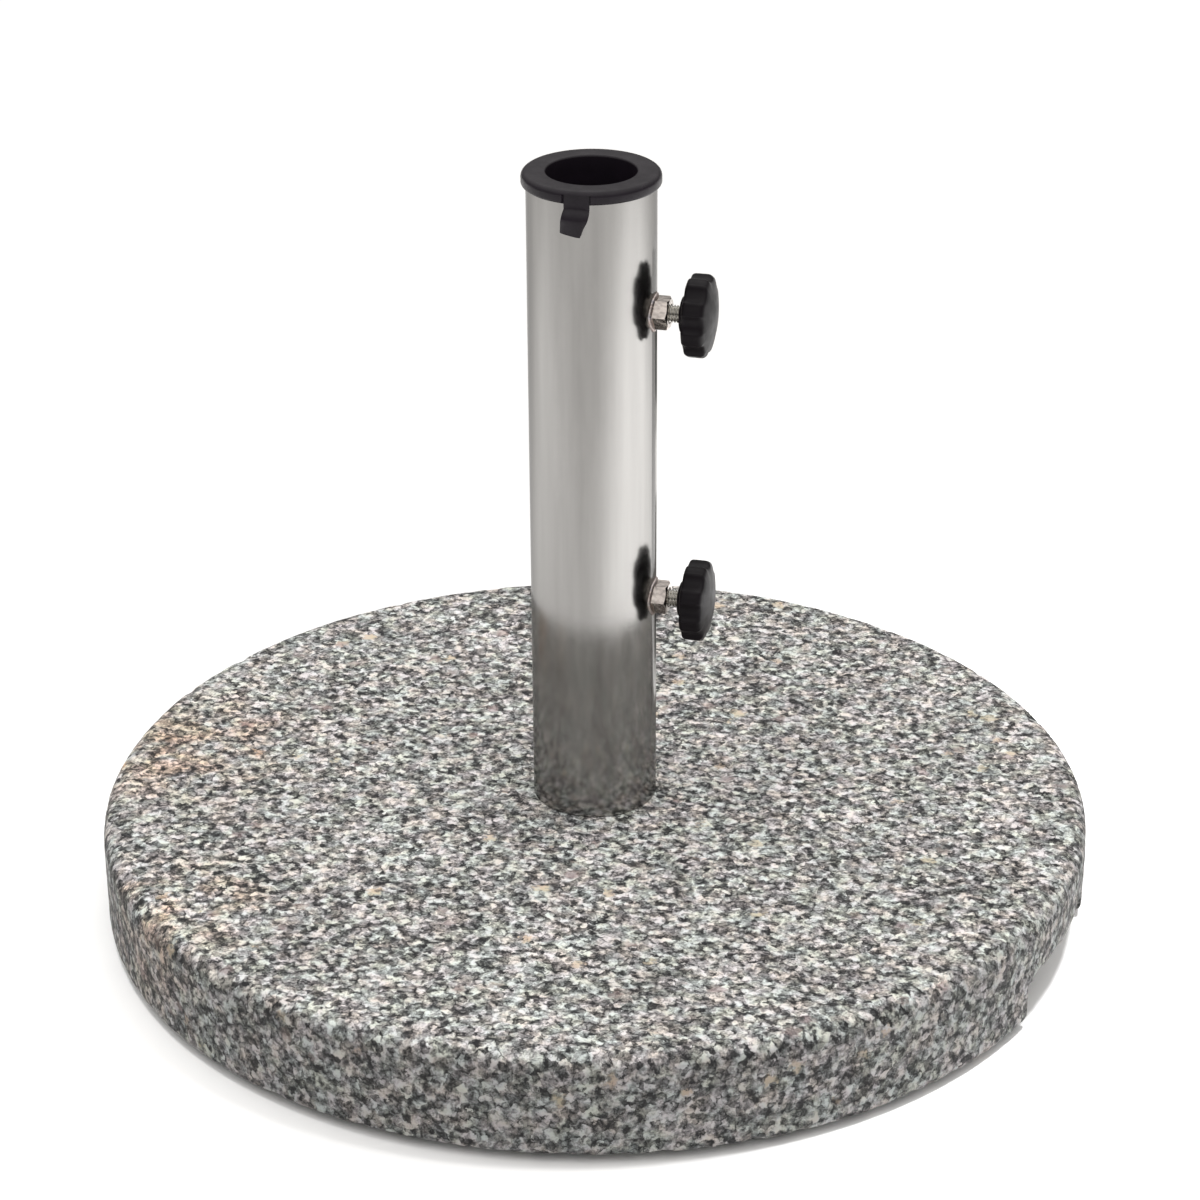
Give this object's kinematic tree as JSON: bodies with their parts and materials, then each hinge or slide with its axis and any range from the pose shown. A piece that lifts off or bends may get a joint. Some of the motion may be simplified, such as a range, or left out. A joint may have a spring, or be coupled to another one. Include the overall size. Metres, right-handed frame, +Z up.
{
  "type": "parasol base",
  "caption": "Round granite parasol base with a stainless tube, a plastic reducer collar and star-knob clamp screws that hold the pole.",
  "frame": {"origin": "centre of the footprint, on the ground under the rubber feet", "axes": "+Z up along the tube and the pole; the two carrying grips lie on the X axis, and the clamp screws point 7 degrees from +X towards +Y"},
  "size_m": [0.45, 0.45, 0.3487],
  "materials": {
    "granite": "flamed grey granite with black mica and cream feldspar grains",
    "rubber": "plain moulded rubber",
    "stainless": "fine brushed stainless steel",
    "foot_steel": "plain mild steel plate",
    "weld": "weld metal with heat tint",
    "zinc_steel": "zinc plated",
    "nut_steel": "turned stainless steel",
    "black_plastic": "moulded black plastic",
    "knob_plastic": "fine-textured black plastic",
    "nylon": "natural nylon"
  },
  "bodies": {
    "base": {"granite_slab": "granite", "rubber_feet": "rubber", "tube": "stainless", "foot_plate": "foot_steel", "foot_weld": "weld", "foot_nut": "zinc_steel", "fixing_bolt": "zinc_steel", "fixing_washer": "zinc_steel", "spring_washer": "zinc_steel", "pole_seat": "black_plastic", "lower_clamp_nut": "nut_steel", "lower_nut_weld": "weld", "upper_clamp_nut": "nut_steel", "upper_nut_weld": "weld"},
    "collar": {"pole_collar": "black_plastic"},
    "lower_tip": {"lower_pressure_tip": "nylon"},
    "lower_screw": {"lower_knob_stud": "zinc_steel", "lower_star_knob": "knob_plastic"},
    "upper_tip": {"upper_pressure_tip": "nylon"},
    "upper_screw": {"upper_knob_stud": "zinc_steel", "upper_star_knob": "knob_plastic"}
  },
  "joints": [
    {"name": "collar_lift", "type": "slide", "parent": "base", "child": "collar", "axis": [0, 0, 1], "range_m": [0, 0.09]},
    {"name": "lower_screw_travel", "type": "slide", "parent": "base", "child": "lower_tip", "axis": [-0.9925, -0.1219, 0], "range_m": [-0.00875, 0.00438]},
    {"name": "lower_screw_turn", "type": "hinge", "parent": "lower_tip", "child": "lower_screw", "pos_m": [0.04665, 0.00573, 0.152], "axis": [-0.9925, -0.1219, 0], "range_deg": [-2520, 1260]},
    {"name": "upper_screw_travel", "type": "slide", "parent": "base", "child": "upper_tip", "axis": [-0.9925, -0.1219, 0], "range_m": [-0.00875, 0.00438]},
    {"name": "upper_screw_turn", "type": "hinge", "parent": "upper_tip", "child": "upper_screw", "pos_m": [0.04665, 0.00573, 0.287], "axis": [-0.9925, -0.1219, 0], "range_deg": [-2520, 1260]}
  ],
  "couplings": [
    {"joint": "lower_screw_travel", "follows": "lower_screw_turn", "m_per_rad": 0.00019894},
    {"joint": "upper_screw_travel", "follows": "upper_screw_turn", "m_per_rad": 0.00019894}
  ]
}
